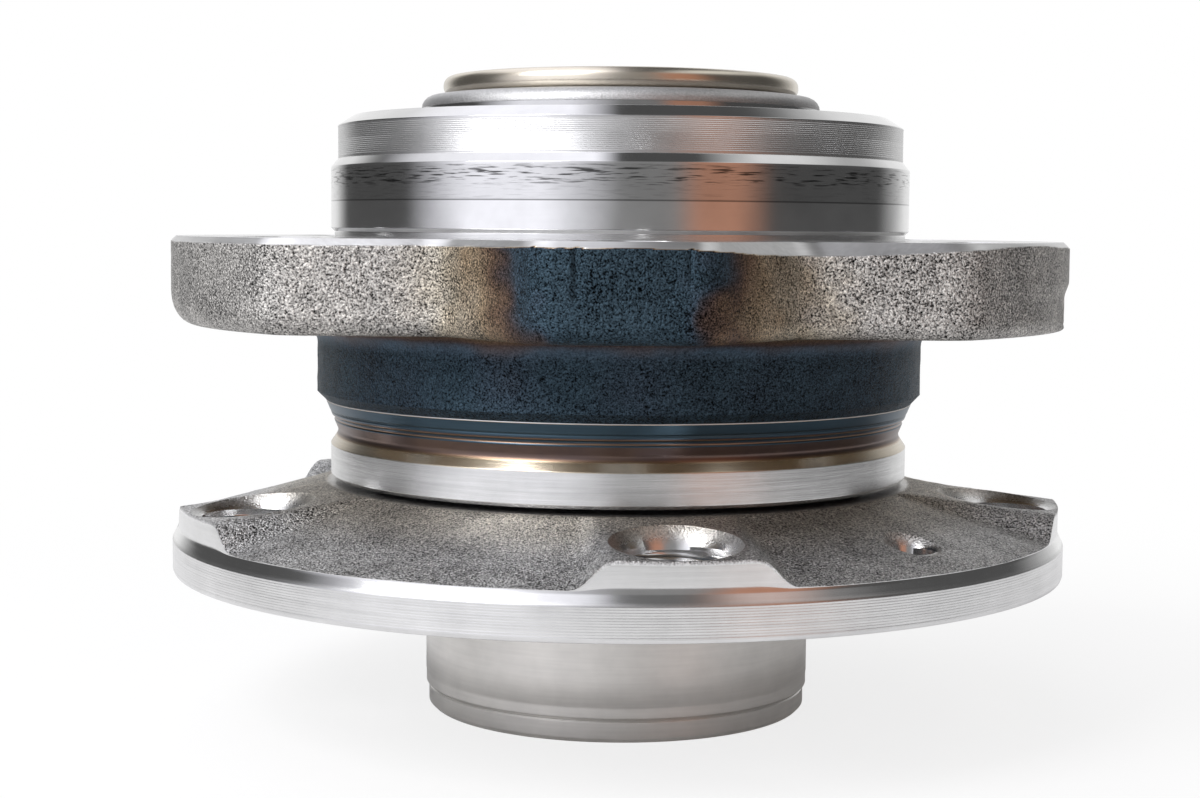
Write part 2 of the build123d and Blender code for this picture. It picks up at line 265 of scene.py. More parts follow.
# Marks of each finish; a mark that isn't named is 0
FINISHES = {
    "ground": dict(rough=0.15, lines=0.14),
    "turned": dict(rough=0.24, lines=1.0),
    "grooved": dict(rough=0.32, lines=0.6),
    "bevel": dict(rough=0.09, lines=0.15),
    "satin": dict(rough=0.36, lines=0.5, temper=0.05),
    "rolled": dict(rough=0.26, lines=0.4, temper=0.16),
    "matt": dict(rough=0.5, lines=0.2, forged=0.2),
    # The next three finishes are tints, part oxide tint and part painted reflection of the room's blue and
    # brown
    "blued": dict(rough=0.36, lines=0.8, temper=0.95),
    "brown": dict(rough=0.3, lines=0.8, temper=0.5),
    "bronze": dict(rough=0.34, lines=0.8, temper=0.62),
    # Painted highlight: a tan tint that gives the band's upper edge the gold of a warm reflection
    "straw": dict(rough=0.26, lines=0.8, temper=0.22),
    "plain": dict(rough=0.5),
}


def trace(corners, step=1.2, support=0.12):
    """A closed line through corners (radius, height, finish[, round[, step]]). Each corner is an arc of
    its round, from the run that arrives to the run that leaves, and each run is cut into steps, with
    a support point near both ends. A finish holds from its corner to the next.
    Gives radii, heights and the rows of marks."""
    places = np.array([corner[:2] for corner in corners], float)
    entries = []
    for number, corner in enumerate(corners):
        place, back, ahead = places[number], places[number - 1], places[(number + 1) % len(places)]
        to_back, to_ahead = back - place, ahead - place
        room = 0.45 * min(np.linalg.norm(to_back), np.linalg.norm(to_ahead))
        to_back, to_ahead = to_back / np.linalg.norm(to_back), to_ahead / np.linalg.norm(to_ahead)
        half = np.arccos(np.clip(to_back @ to_ahead, -1, 1)) / 2
        wanted = corner[3] if len(corner) > 3 and corner[3] is not None else 0.1
        if half > straight:
            entries.append(place[None])
            continue
        radius = min(wanted, room * np.tan(half))
        inward = (to_back + to_ahead) / np.linalg.norm(to_back + to_ahead)
        centre = place + inward * radius / np.sin(half)
        first, last = (place + way * radius / np.tan(half) - centre for way in (to_back, to_ahead))
        turn = np.pi - 2 * half
        t = np.linspace(0, 1, max(3, int(np.ceil(np.degrees(turn) / arc_step)) + 1))[:, None]
        entries.append(centre + (np.sin((1 - t) * turn) * first + np.sin(t * turn) * last) / np.sin(turn))
    line, marks = [], []
    for number, corner in enumerate(corners):
        finish = FINISHES[corner[2]]
        run_step = corner[4] if len(corner) > 4 else step
        here, after = entries[number], entries[(number + 1) % len(corners)]
        start, end = here[-1], after[0]
        length = np.linalg.norm(end - start)
        pieces = max(1, int(round(length / run_step)))
        t = np.arange(1, pieces) / pieces
        if length > 4 * support:
            near = [place for place, entry in ((support / length, here), (1 - support / length, after))
                    if len(entry) > 1]
            t = np.unique(np.concatenate([t, near]))
        run = np.concatenate([here, start + t[:, None] * (end - start)])
        line.append(run)
        marks.append(np.tile([finish.get(mark, 0.0) for mark in MARKS], (len(run), 1)))
    line, marks = np.concatenate(line), np.concatenate(marks)
    return line[:, 0], line[:, 1], marks


def turned(corners, columns=turned_columns, shift=None, step=1.2):
    """A solid of revolution as one skin: the closed line of its corners carried round Z. shift, given
    the grid's radii, angles and heights, returns radii with grooves, teeth or dents worked in."""
    radii, heights, marks = trace(corners, step)
    radii, heights = (np.append(line, line[0])[:, None] for line in (radii, heights))
    marks = np.vstack([marks, marks[:1]])
    angles = full_turn(columns)[None, :]
    if shift is not None:
        radii = shift(radii, angles, heights)
    skin = Skin()
    points = closed(around(radii, angles, heights))
    points[-1] = points[0]
    skin.add(points, **{mark: marks[:, column, None] for column, mark in enumerate(MARKS)})
    return skin


def raceway(side, outward, start_r, end_r, points=10):
    """The arc of a raceway between two radii, as corners. The groove is 1.04 times the ball's radius,
    its centre stands off the ball's, away from the contact, and the ball keeps a clearance. outward
    is 1 in the outer ring and -1 under the balls, and the arc lies on the contact's side."""
    clearance, contact = 0.03, np.radians(40.0)
    groove_r = 1.04 * ball_r
    standoff = groove_r - ball_r - clearance
    lean = {"outboard": -1, "inboard": 1}[side]
    centre_r = pitch_r - outward * standoff * np.cos(contact)
    centre_z = rows[side] + outward * lean * standoff * np.sin(contact)
    ends = []
    for radius, high in ((start_r, start_r < end_r), (end_r, end_r < start_r)):
        reach = np.sqrt(groove_r ** 2 - (radius - centre_r) ** 2)
        toward_middle = -lean if (high if outward > 0 else not high) else lean
        ends.append(np.arctan2(toward_middle * reach, radius - centre_r))
    if outward < 0:
        ends = [end % (2 * np.pi) for end in ends]
    return [(centre_r + groove_r * np.cos(t), centre_z + groove_r * np.sin(t), "ground")
            for t in np.linspace(*ends, points)]


def holed_sector(skin, angles, inner_r, outer_r, hole_angle, hole_at, hole_r, side_rows, rings,
                 heights, marks):
    """Grid of a ring's sector round a hole. The sector is a unit square, across by angle and up from
    the inner to the outer edge. A point of the grid runs straight in that square from the
    hole's edge, at the side where the edge point lies, to the square's edge. Returns the hole's points."""
    start, end = angles[0], angles[-1]
    across = (angles - start) / (end - start)
    up = np.linspace(0, 1, side_rows + 1)
    steps = len(across) - 1
    edge_u = np.concatenate([across[:-1], np.ones(side_rows), across[:0:-1], np.zeros(side_rows), [0.0]])
    edge_v = np.concatenate([np.zeros(steps), up[:-1], np.ones(steps), up[:0:-1], [0.0]])

    def to_square(radius, angle):
        low, high = inner_r(angle), outer_r(angle)
        return (angle - start) / (end - start), (radius - low) / (high - low)

    middle_u, middle_v = to_square(hole_at, np.array(hole_angle))
    width = np.radians(end - start) * hole_at
    height = outer_r(np.array(hole_angle)) - inner_r(np.array(hole_angle))
    bearing = np.arctan2((edge_v - middle_v) * height, (edge_u - middle_u) * width)
    x = hole_at + hole_r * np.sin(bearing)
    y = hole_r * np.cos(bearing)
    hole_u, hole_v = to_square(np.hypot(x, y), hole_angle + np.degrees(np.arctan2(y, x)))
    share = np.linspace(0, 1, rings + 1)[:, None]
    u, v = hole_u + (edge_u - hole_u) * share, hole_v + (edge_v - hole_v) * share
    angle = start + u * (end - start)
    low, high = inner_r(angle), outer_r(angle)
    radius = low + v * (high - low)
    grid = closed(around(radius, angle, heights(radius, angle)))
    skin.add(grid, **marks(radius, angle))
    return grid[0]


def machined(radius, angle):
    """Marks of a turned face."""
    return dict(rough=0.24, lines=1.0)


def hole_wall(skin, top, bottom, centre, wall_r, sink_low, sink_high):
    """Wall of a hole: from the points of its mouth down a cone to the wall's radius, down the wall, and
    out again to the points of its other mouth."""
    bearing = np.arctan2(top[:, 1] - centre[1], top[:, 0] - centre[0])
    ring = np.stack([centre[0] + wall_r * np.cos(bearing), centre[1] + wall_r * np.sin(bearing)], -1)
    wall = [np.column_stack([ring, np.full(len(ring), height)]) for height in (sink_high, sink_low)]
    skin.add(closed(np.stack([top, *wall, bottom])), rough=0.2, lines=0.4)


# ---------------------------------------------------------------- outer ring

def flange_edge(angle):
    """Radius of the knuckle flange's outline: a disc with two flats, each with a tapered lug, where the
    outline's nearest line wins: the disc, or the farther of flat and lug flank."""
    turn = np.radians(angle)
    x, y = np.abs(np.cos(turn)), np.abs(np.sin(turn)) + 1e-9
    lean = np.array([flange_r - flange_flat, lug_root - lug_tip])
    lean = lean / np.linalg.norm(lean)
    flank = (lean @ [lug_tip, flange_r]) / (lean[0] * x + lean[1] * y)
    far = 90.0                 # a line that is farther out than this doesn't count
    side = soft_max(np.minimum(flange_flat / y, far), np.minimum(flank, far), 2.6)
    return soft_min(flange_r + 0 * x, side, 2.4)


def from_lug(angle):
    """Degrees to the middle of the nearer lug. The lugs point along -Y and +Y."""
    return np.abs(angle % 180 - 90)


def cut_height(angle):
    """Height of the ground chamfer along the flange's upper edge, which wanders as it goes round."""
    wander = 0.9 + 0.95 * hump(angle, -64, 26) - 0.35 * hump(angle, -33, 20) + 0.4 * hump(angle, 40, 60)
    return wander - 0.15 * hump(angle, 180, 50) + 0.12 * noise(around(65, angle, 0), 6.0, 21)


def flange_tint_and_reflection(angle, height):
    """Tint of the flange's wall, part oxide tint and part painted reflection of the room: bright at the
    round sides, tan on the flanks of the lugs and blue on their tips."""
    away = (from_lug(angle) + 6.0 * noise(around(40, angle, height), 7.0, 9)
            + 2.5 * noise(around(60, angle, height), 2.5, 8))
    return 0.05 + 0.33 * (1 - unit(away, 12, 34)) + 0.60 * (1 - unit(away, 3, 18))


def shear_marks(angles, height, places):
    """Depth of what the trimming press tore: upright streaks on both lugs, two slits in the front one."""
    lug = 1 - unit(from_lug(angles), 11, 15)
    torn = np.clip(noise(places * (1, 1, 0.04), 1.1, 14) - 0.25, 0, 1)
    torn = torn * unit(height, knuckle_face - 9.5, knuckle_face - 5.0)
    slit = hump(angles, -94.9, 0.55) * unit(height, knuckle_face - 8.0, knuckle_face - 6.8)
    slit = slit * unit(knuckle_face - height, 0.4, 1.0)
    slit += 0.55 * hump(angles, -83.0, 0.5) * unit(height, knuckle_face - 5.5, knuckle_face - 4.5)
    return 0.22 * lug * torn + 0.42 * slit


def flange_wall(skin, angles):
    """Side of the knuckle flange, from a quarter round under its edge up to the ground chamfer: at each
    point the nearer of the blasted wall and the chamfer. Gives the radii of its two end rows."""
    edge = flange_edge(angles)
    left, right = hump(angles, 180, 70), hump(angles, 0, 45)
    round_in = 2.0 + 1.3 * left - 1.1 * right
    round_up = 2.3 + 2.6 * left - 1.2 * right
    quarter = np.radians(np.linspace(0, 90, 10))[:, None]
    bottom = flange_low + round_up
    share = np.concatenate([np.linspace(0, 0.74, 18)[1:], np.linspace(0.74, 1, 20)[1:]])[:, None]
    side_rows = bottom + (knuckle_face - bottom) * share
    height = np.vstack([flange_low + round_up * (1 - np.cos(quarter)), side_rows])
    radius = np.vstack([edge - round_in * (1 - np.sin(quarter)), np.broadcast_to(edge, side_rows.shape)])
    waist = unit(height, knuckle_face - 5.4, knuckle_face - 7.8) * unit(height, flange_low, flange_low + 1)
    places = around(edge, angles, height)
    rough_wall = radius - 0.75 * right * waist + dents(places) - shear_marks(angles, height, places)

    chamfer = edge + 0.08 - (height - (knuckle_face - cut_height(angles)))
    wall = np.minimum(rough_wall, chamfer)
    cut = unit(rough_wall - chamfer, -0.02, 0.06)
    # Painted reflection, partly oxide tint: the wall's blue and tan by angle from the lugs; none on the
    # ground chamfer
    temper = flange_tint_and_reflection(angles, height) * (1 - cut)
    skin.add(closed(around(wall, angles, height)), forged=1 - cut, temper=temper,
             rough=0.52 - 0.18 * cut, lines=cut)
    return wall[0], wall[-1]


def flange_faces(skin, angles, under_r, top_r):
    """The knuckle flange's lower and upper face between the drum and the given radii, with six holes."""
    bolt_at, bolt_r = knuckle_bolts["pcd_mm"] / 2, knuckle_bolts["hole_r_mm"]
    sector = ring_columns // knuckle_bolts["count"]
    side_rows = 20

    def top_edge(angle):
        return np.interp(angle, angles, top_r)

    def under_edge(angle):
        return np.interp(angle, angles, under_r)

    def under_height(radius, angle):
        fade = unit(radius, fillet_r, fillet_r + 1) * unit(under_edge(angle) - radius, 0, 0.8)
        return flange_low + fade * dents(around(radius, angle, flange_low), 5)

    def under_marks(radius, angle):
        return dict(forged=1.0, rough=0.52, temper=0.4)

    for number in range(knuckle_bolts["count"]):
        part = angles[number * sector:(number + 1) * sector + 1]
        middle = -90.0 + 60.0 * number
        mouth = holed_sector(skin, part, steady(relief_r), top_edge, middle, bolt_at, bolt_r + 0.5,
                             side_rows, 9, steady(knuckle_face), machined)
        under = holed_sector(skin, part, steady(fillet_r), under_edge, middle, bolt_at, bolt_r + 0.3,
                             side_rows, 7, under_height, under_marks)
        centre = around(bolt_at, middle, 0.0)
        hole_wall(skin, mouth, under, centre, bolt_r, flange_low + 0.3, knuckle_face - 0.5)


def flange_drum(skin, angles):
    """Quarter-round fillet, drum and the step below it, closed by a hidden wall inside."""
    bend = np.radians(np.linspace(0, 90, 9))[:, None]
    fillet = (fillet_r - drum_root * np.sin(bend), flange_low - drum_root * (1 - np.cos(bend)))
    drum = (np.full((18, 1), drum_r), np.linspace(flange_low - drum_root, drum_low, 19)[1:, None])
    step = (np.linspace(drum_r, neck_top_r, 5)[1:, None], np.linspace(drum_low, neck_top, 5)[1:, None])
    radius, height = (np.vstack(lines) for lines in zip(fillet, drum, step))
    places = around(radius, angles, height)
    fade = unit(flange_low - height, 0, 0.6) * unit(height, neck_top, neck_top + 0.5)
    rough_radius = radius + fade * (1.2 * dents(places, 11) + 0.12 * noise(places, 12.0, 3))
    # Painted reflection, partly oxide tint: blue-black round the drum, brown along the fillet under the
    # flange, and a smoother, slightly less blue band just below the fillet
    band = hump(height, flange_low - 1.5, 2.2)
    temper = 0.86 + 0.10 * noise(places, 9.0, 4) - 0.42 * hump(height, flange_low, 1.6) - 0.1 * band
    points = closed(around(rough_radius, angles, height))
    skin.add(points, forged=1 - 0.55 * band, temper=temper, rough=0.52)

    shelf = knuckle_face - 0.3
    core = np.array([[neck_top_r, neck_top], [ring_core_r, neck_top], [ring_core_r, shelf],
                     [relief_r - 0.3, shelf], [relief_r, knuckle_face]])
    skin.add(closed(around(core[:, 0, None], angles, core[:, 1, None])), rough=0.5)


def forged_ring():
    """Knuckle flange, fillet and drum: what the turning left of the outer ring's forging."""
    skin = Skin()
    angles = full_turn(ring_columns, -120.0)
    under_r, top_r = flange_wall(skin, angles)
    flange_faces(skin, angles, under_r, top_r)
    flange_drum(skin, angles)
    return skin


def turned_ring():
    """Band, neck, pilot, lead-in and bore of the outer ring."""
    lead_r, lead_low, lead_high = pilot_r - 1.0, ring_high - 6.2, ring_high - 1.4
    land_r, open_r, lip_r = pitch_r + 1.7, seal_bore_r - 0.5, seal_bore_r + 0.4
    band_r, foot_r, foot = pilot_r + 0.1, pilot_r - 0.5, knuckle_face - 0.28
    neck_low_r, neck_rise = pilot_r - 1.0, 6.8

    # Turned lines of the neck: rise over the ring's lower end, depth, finish. Their blue-black and brown
    # bands, like the brown and bronze below them, are part oxide tint, part painted reflection.
    neck_lines = [(8.3, 0.0, "blued"), (8.5, 0.2, "brown"), (8.9, 0.2, "blued"), (9.1, 0.0, "brown"),
                  (9.5, 0.0, "blued"), (9.7, 0.12, "blued"), (9.9, 0.0, "blued")]

    def neck(rise):
        """Radius of the cone under the drum at this height over the ring's lower end."""
        share = (rise - neck_rise) / (neck_top - ring_low - neck_rise)
        return neck_low_r + (neck_top_r - neck_low_r) * share

    corners = [
        (lip_r, ring_low, "turned"), (pilot_r - 0.4, ring_low, "bevel"),
        # From the band's upper corner inwards, a tan tint is a painted gold highlight
        (band_r, ring_low + 0.5, "turned", 0.08, 0.5), (band_r, ring_low + 4.9, "straw", 0.1, 0.3),
        (pilot_r - 0.8, ring_low + 6.2, "brown", 0.3, 0.3),
        (neck_low_r, ring_low + neck_rise, "bronze", 1.2, 0.4)]
    corners += [(neck(rise) - depth, ring_low + rise, finish) for rise, depth, finish in neck_lines]
    corners += [
        (neck_top_r, neck_top, "plain"), (ring_core_r + 0.2, neck_top, "plain", None, 6),
        (ring_core_r + 0.2, foot, "turned"), (foot_r, foot, "turned"),
        (foot_r, knuckle_face + 0.8, "bevel"), (pilot_r, knuckle_face + 1.3, "ground", 0.1, 0.5),
        (pilot_r, knuckle_face + pilot_rise, "bevel", 0.1), (lead_r, lead_low, "grooved", 0.1, 0.087),
        (lead_r, lead_high, "bevel", 0.1), (pilot_r - 3.2, ring_high, "turned", 0.2),
        (lip_r, ring_high, "turned"), (seal_bore_r, ring_high - 0.4, "turned"),
        (seal_bore_r, ring_high - seal_deep, "turned"), (open_r, ring_high - seal_deep, "turned")]
    corners += raceway("inboard", 1, open_r, land_r)
    corners += raceway("outboard", 1, land_r, open_r)
    corners += [(open_r, ring_low + seal_deep, "turned"), (seal_bore_r, ring_low + seal_deep, "turned"),
                (seal_bore_r, ring_low + 0.4, "turned")]

    def grooves(radii, angles, heights):
        """A record's grooves on the lead-in, 0.26 mm apart, and a faint line at the foot of the pilot."""
        lead = unit(heights, lead_low + 0.2, lead_low + 0.4) * unit(lead_high - heights, 0.2, 0.4)
        lead = lead * (radii > pilot_r - 1.2)
        line = hump(heights, knuckle_face + 2.1, 0.25) * (radii > pilot_r - 0.2)
        return radii - 0.022 * lead * (1 - np.cos(2 * np.pi * heights / 0.26)) - 0.03 * line + 0 * angles

    return turned(corners, outer_columns, grooves)


# ---------------------------------------------------------------- hub

def boss_angles():
    """Angles of the wheel bolt holes, with a boss round each."""
    return hub_turn + 72.0 * np.arange(wheel_bolts["count"])


def flange_height(radius, angle):
    """Top of the hub flange: the forged cone from the turned face to the rim, and on it a ridge round
    each bolt hole, flat across its top and falling at the angle of its flanks."""
    fall = (radius - face_r) / (bevel_r - face_r)
    height = face_height - (face_height - bevel_high - 0.12) * fall
    for middle in boss_angles():
        turn = np.radians(angle - middle)
        side, out = np.abs(radius * np.sin(turn)), radius * np.cos(turn)
        crest = face_height - (face_height - boss_rim_height) * (out - face_r) / (bevel_r - face_r)
        crest = np.where(out > 0, crest, -50.0)
        flank = crest - (side - boss_half_width) / np.tan(np.radians(boss_flank))
        height = soft_max(height, soft_min(crest, flank, 1.6), 1.4)
    return np.minimum(height, face_height + 0.02)


def past_face(radius):
    """0 on the turned face inside, 1 on the forged cone round it."""
    return unit(radius, face_r - 0.5, face_r + 0.6)


def bolt_gap(radius, angle):
    """Distance in plan to the middle of the nearest wheel bolt hole."""
    gap = np.full(np.shape(radius), 50.0)
    for middle in boss_angles():
        turn = np.radians(angle - middle)
        out = radius * np.cos(turn) - wheel_bolts["pcd_mm"] / 2
        gap = np.minimum(gap, np.hypot(out, radius * np.sin(turn)))
    return gap


def top_height(radius, angle):
    """Top of the hub flange with the forging's dents, which keep clear of the mouths of the holes."""
    base = flange_height(radius, angle)
    share = past_face(radius) * unit(bolt_gap(radius, angle), mouth_r - 0.3, mouth_r + 0.5)
    return base + share * dents(around(radius, angle, base), 30)


def top_marks(radius, angle):
    """Forged past the face and outside the mouths, turned elsewhere, and a little tinted near the face."""
    forged = past_face(radius) * unit(bolt_gap(radius, angle), mouth_r - 0.2, mouth_r + 0.15)
    return dict(forged=forged, rough=0.24 + 0.26 * forged, lines=1 - forged,
                temper=0.12 * past_face(radius) * unit(radius, 58, 46))


def hub_faces(skin, angles):
    """Forged top and turned seat of the hub flange, in a sector for each of its six holes."""
    at, side_rows = wheel_bolts["pcd_mm"] / 2, 44
    bolt = (wheel_bolts["hole_r_mm"], mouth_r)

    # Start, end and hole of each sector in degrees from the first bolt, and the radii of wall and mouth
    sectors = [(-36, 24, 0, *bolt), (24, 48, 36, screw_r, screw_mouth_r), (48, 108, 72, *bolt)]
    sectors += [(middle - 36, middle + 36, middle, *bolt) for middle in (144, 216, 288)]
    for start, end, middle, wall_r, top_r in sectors:
        first, last = (int(round((side + 36) * hub_columns / 360)) for side in (start, end))
        part = angles[first:last + 1]
        hole_angle = hub_turn + middle
        top = holed_sector(skin, part, steady(face_r), steady(bevel_r), hole_angle, at, top_r,
                           side_rows, 20, top_height, top_marks)
        seat = holed_sector(skin, part, steady(seat_relief_r), steady(rim_r - 0.4), hole_angle, at,
                            wall_r + 0.4, side_rows, 2, steady(0.0), machined)
        sink = flange_height(np.array(at), np.array(hole_angle)) - (top_r - wall_r)
        hole_wall(skin, top, seat, around(at, hole_angle, 0.0), wall_r, 0.4, float(sink))


def hub_rim(skin, angles):
    """Turned edge, cylinder with fine rings 0.34 mm apart, bevel, and the turned ends of the bosses."""
    rim_rows = np.linspace(0.4, bevel_low - 0.08, 37)[:, None]
    rings = 0.010 * (1 - np.cos(2 * np.pi * rim_rows / 0.34)) * unit(rim_rows, 0.5, 0.9)
    edge = around(np.array([[rim_r - 0.4], [rim_r - 0.12]]), angles, np.array([[0.0], [0.09]]))
    body = around(rim_r - rings, angles, rim_rows)
    shoulder = around(np.array([[rim_r - 0.03], [rim_r - 0.1]]), angles,
                      np.array([[bevel_low - 0.02], [bevel_low + 0.12]]))
    skin.add(closed(np.vstack([edge, body, shoulder])), rough=0.24, lines=1.0)
    share = np.linspace(0, 1, 5)[:, None]
    bevel = around(rim_r - 0.1 + (bevel_r - rim_r + 0.1) * share, angles,
                   bevel_low + 0.12 + (bevel_high - bevel_low - 0.12) * share)
    skin.add(closed(bevel), rough=0.15, lines=0.3)
    brow = top_height(bevel_r + 0 * angles, angles)
    boss_ends = around(bevel_r, angles, bevel_high + (brow - bevel_high) * np.linspace(0, 1, 8)[:, None])
    skin.add(closed(boss_ends), rough=0.2, lines=0.5)


def hub_flange():
    """The hub's flange: forged between its bosses, turned on rim, boss ends, seat and face."""
    skin = Skin()
    angles = full_turn(hub_columns, hub_turn - 36.0)
    hub_faces(skin, angles)
    hub_rim(skin, angles)

    # turned face inside, hidden core, relief of the seat
    inside = np.array([[face_r, face_height], [face_r - 3, face_height], [hub_core_r, face_height],
                       [hub_core_r, seat_relief], [seat_relief_r - 0.3, seat_relief], [seat_relief_r, 0.0]])
    inner = around(inside[:, 0, None], angles, inside[:, 1, None])
    inner[0, :, 2] = top_height(face_r + 0 * angles, angles)
    skin.add(closed(inner), rough=0.3, lines=1.0)
    return skin


def hub_shaft():
    """Spigot, pocket, splined bore, raceway, seat of the inner ring and rolled end."""
    pocket_r, pocket_floor, chamfer = spigot_r - 4.15, -6.5, 1.45
    foot_r, under_r, seat_r = spigot_r - 0.45, spigot_r - 0.06, spigot_r - 0.3
    minor_r, major_r, teeth, spline_high = 14.85, 15.8, 36, 60.5
    rolled_r, rolled_round = inner_seat_r + 4.1, 1.39
    corners = [
        (pocket_r, hub_low, "turned", 0.3), (spigot_r - 1.05, hub_low, "satin", 0.2),
        (foot_r, hub_low + 0.6, "satin", 0.2, 0.3), (foot_r, hub_low + 2.9, "satin", 0.05, 0.1),
        (spigot_r - 0.58, hub_low + 3.05, "satin", 0.04, 0.1),
        (spigot_r - 0.5, hub_low + 3.2, "satin", 0.05, 0.2), (under_r, hub_low + 3.55, "satin", 0.1, 0.4),
        (under_r, hub_low + 5.2, "satin", 0.08), (spigot_r, hub_low + 5.4, "satin", 0.08, 4),
        (spigot_r, -1.0, "turned"), (seat_r, -1.0, "turned"), (seat_r, seat_relief, "turned"),
        (hub_core_r, seat_relief, "plain"), (hub_core_r, face_height, "turned"),
        (shoulder_r, face_height, "ground", 2.5)]
    corners += raceway("outboard", -1, shoulder_r, barrel_r)
    corners += [
        (barrel_r, inner_low, "turned"), (inner_seat_r, inner_low, "plain", None, 6),
        (inner_seat_r, inner_high, "rolled"), (rolled_r, inner_high, "rolled", rolled_round, 0.3),
        (rolled_r, hub_high, "rolled", rolled_round, 0.3), (20.4, hub_high, "rolled", 0.5),
        (stub_r, hub_high - 5.0, "turned", 0.4), (stub_r, spline_high, "turned"),
        (minor_r, spline_high - 1.0, "turned", None, 8), (minor_r, pocket_floor + chamfer, "turned"),
        (minor_r + chamfer, pocket_floor, "turned"), (pocket_r, pocket_floor, "turned", 3.0)]

    def splined(radii, angles, heights):
        """Spline teeth where the bore is, with flanks at 30 degrees."""
        depth, mean_r = major_r - minor_r, (major_r + minor_r) / 2
        phase = ((angles - hub_turn) * teeth / 360 + 0.5) % 1 - 0.5
        into = (0.25 - np.abs(phase)) * 2 * np.pi * mean_r / teeth
        space = np.clip(into / np.tan(np.radians(30.0)) + depth / 2, 0, depth)
        bore = (radii < major_r + 1.0) & (heights < spline_high + 0.05) & (heights > pocket_floor - 0.05)
        return np.where(bore, np.maximum(radii, minor_r + space), radii + 0 * angles)

    return turned(corners, shaft_columns, splined, 2.5)


def thread_liner(skin, centre, major_r, low, high, columns):
    """Thread in a hole: a tube with the inner wall r = major - depth * crest, where the crest is a cosine
    of z / pitch - turn, cut flat at both ends of its stroke. It runs out at the tube's two ends."""
    depth, per_pitch, wall = 0.54 * thread_pitch, 8, 0.05
    height = np.linspace(low, high, int((high - low) / thread_pitch * per_pitch))[:, None]
    bearing = full_turn(columns)[None, :]
    fade = unit(height, low, low + 0.8) * unit(high - height, 0.3, 1.2)
    wave = 0.5 + 0.5 * np.cos(2 * np.pi * (height / thread_pitch - bearing / 360))
    crest = np.clip(1.5 * wave - 0.2, 0, 1)
    inner = around(major_r - wall - depth * crest * fade, bearing, height)
    outer = around(major_r + wall + 0 * crest, bearing, height)
    grid = np.concatenate([inner, outer[::-1], inner[:1]])
    skin.add(closed(grid + centre), rough=0.22, lines=0.1)


def threads(bolts, angles, low, high, columns):
    """The threads in all holes of a bolt circle."""
    skin = Skin()
    for angle in angles:
        thread_liner(skin, around(bolts["pcd_mm"] / 2, angle, 0.0), bolts["hole_r_mm"], low, high, columns)
    return skin


def wheel_threads():
    """Threads of the five wheel bolts."""
    return threads(wheel_bolts, boss_angles(), 0.6, 8.9, 60)


def knuckle_threads():
    """Threads of the six knuckle bolts."""
    angles = -90 + 60 * np.arange(knuckle_bolts["count"])
    return threads(knuckle_bolts, angles, flange_low + 0.5, knuckle_face - 0.7, 48)


# ---------------------------------------------------------------- inner ring and seals

def inner_ring():
    """Ground ring on the hub's seat, with the inboard raceway."""
    corners = [(inner_seat_r, inner_low, "ground", 0.3), (barrel_r, inner_low, "ground", 0.3)]
    corners += raceway("inboard", -1, barrel_r, shoulder_r)
    corners += [(shoulder_r, inner_high, "matt", 1.8, 0.5), (inner_seat_r, inner_high, "plain")]
    return turned(corners)


def seal_case(end, side):
    """Steel sleeve with a leg inwards on the balls' side."""
    mouth, leg = end - side * 0.2, end - side * seal_deep
    inside_r, leg_top = seal_bore_r - sheet, leg + side * sheet
    return turned([(case_leg_r, leg, "turned"), (seal_bore_r, leg, "turned"),
                   (seal_bore_r, mouth, "turned", 0.2), (inside_r, mouth, "turned", 0.2),
                   (inside_r, leg_top, "turned"), (case_leg_r, leg_top, "turned")])


def seal_lips(end, side, run_r, face):
    """Rubber on the case's leg, with its lips towards the running cylinder and the running face."""
    back, gap, edge = end - side * (seal_deep - sheet), 0.05, 0.35
    reach = abs(face - side * gap - back)
    root, foot = 0.3 * reach, 0.36 * reach
    outer_r, touch_r, tail_r = seal_bore_r - 1.0, run_r + gap, case_leg_r - 2 * edge
    bend_r = outer_r - reach / 2
    line = [(case_leg_r, -sheet), (case_leg_r, 0), (bend_r, 0), (bend_r, root), (outer_r, reach),
            (outer_r - edge, reach), (bend_r - edge * 2, foot), (case_leg_r, foot),
            (touch_r + edge, 0.5 * reach), (touch_r, 0.42 * reach), (tail_r, root / 2),
            (tail_r, -sheet / 2), (touch_r, -sheet), (touch_r + edge, -sheet - edge / 2)]
    return turned([(radius, back + side * height, "plain", 0.08) for radius, height in line])


def slinger():
    """Steel sleeve on the inner ring with a leg outwards at the ring's end."""
    start, sleeve_r, under = ring_high - seal_deep, shoulder_r + sheet, slinger_high - sheet
    return turned([(shoulder_r, start, "turned"), (sleeve_r, start, "turned"),
                   (sleeve_r, under, "turned", 0.4), (slinger_r, under, "turned"),
                   (slinger_r, slinger_high, "turned"), (shoulder_r, slinger_high, "turned", 0.4)])


def encoder():
    """Flat rubber ring on the slinger's leg."""
    inside_r = shoulder_r + sheet
    return turned([(inside_r, slinger_high, "plain"), (slinger_r, slinger_high, "plain"),
                   (slinger_r, encoder_high, "plain", 0.2), (inside_r, encoder_high, "plain", 0.2)])


# ---------------------------------------------------------------- finishes

class Socket:
    """A node's output. Operators on it add Math nodes."""

    def __init__(self, maker, output):
        self.maker, self.output = maker, output

    def __getitem__(self, name):
        """Another output of the same node."""
        return Socket(self.maker, self.output.node.outputs[name])

    def _join(self, operation, first, second):
        return self.maker.node("ShaderNodeMath", {"operation": operation}, {0: first, 1: second})

    def __add__(self, other):
        return self._join("ADD", self, other)

    def __sub__(self, other):
        return self._join("SUBTRACT", self, other)

    def __mul__(self, other):
        return self._join("MULTIPLY", self, other)

    def __truediv__(self, other):
        return self._join("DIVIDE", self, other)

    def __pow__(self, other):
        return self._join("POWER", self, other)

    def __rsub__(self, other):
        return self._join("SUBTRACT", other, self)

    __radd__ = __add__
    __rmul__ = __mul__


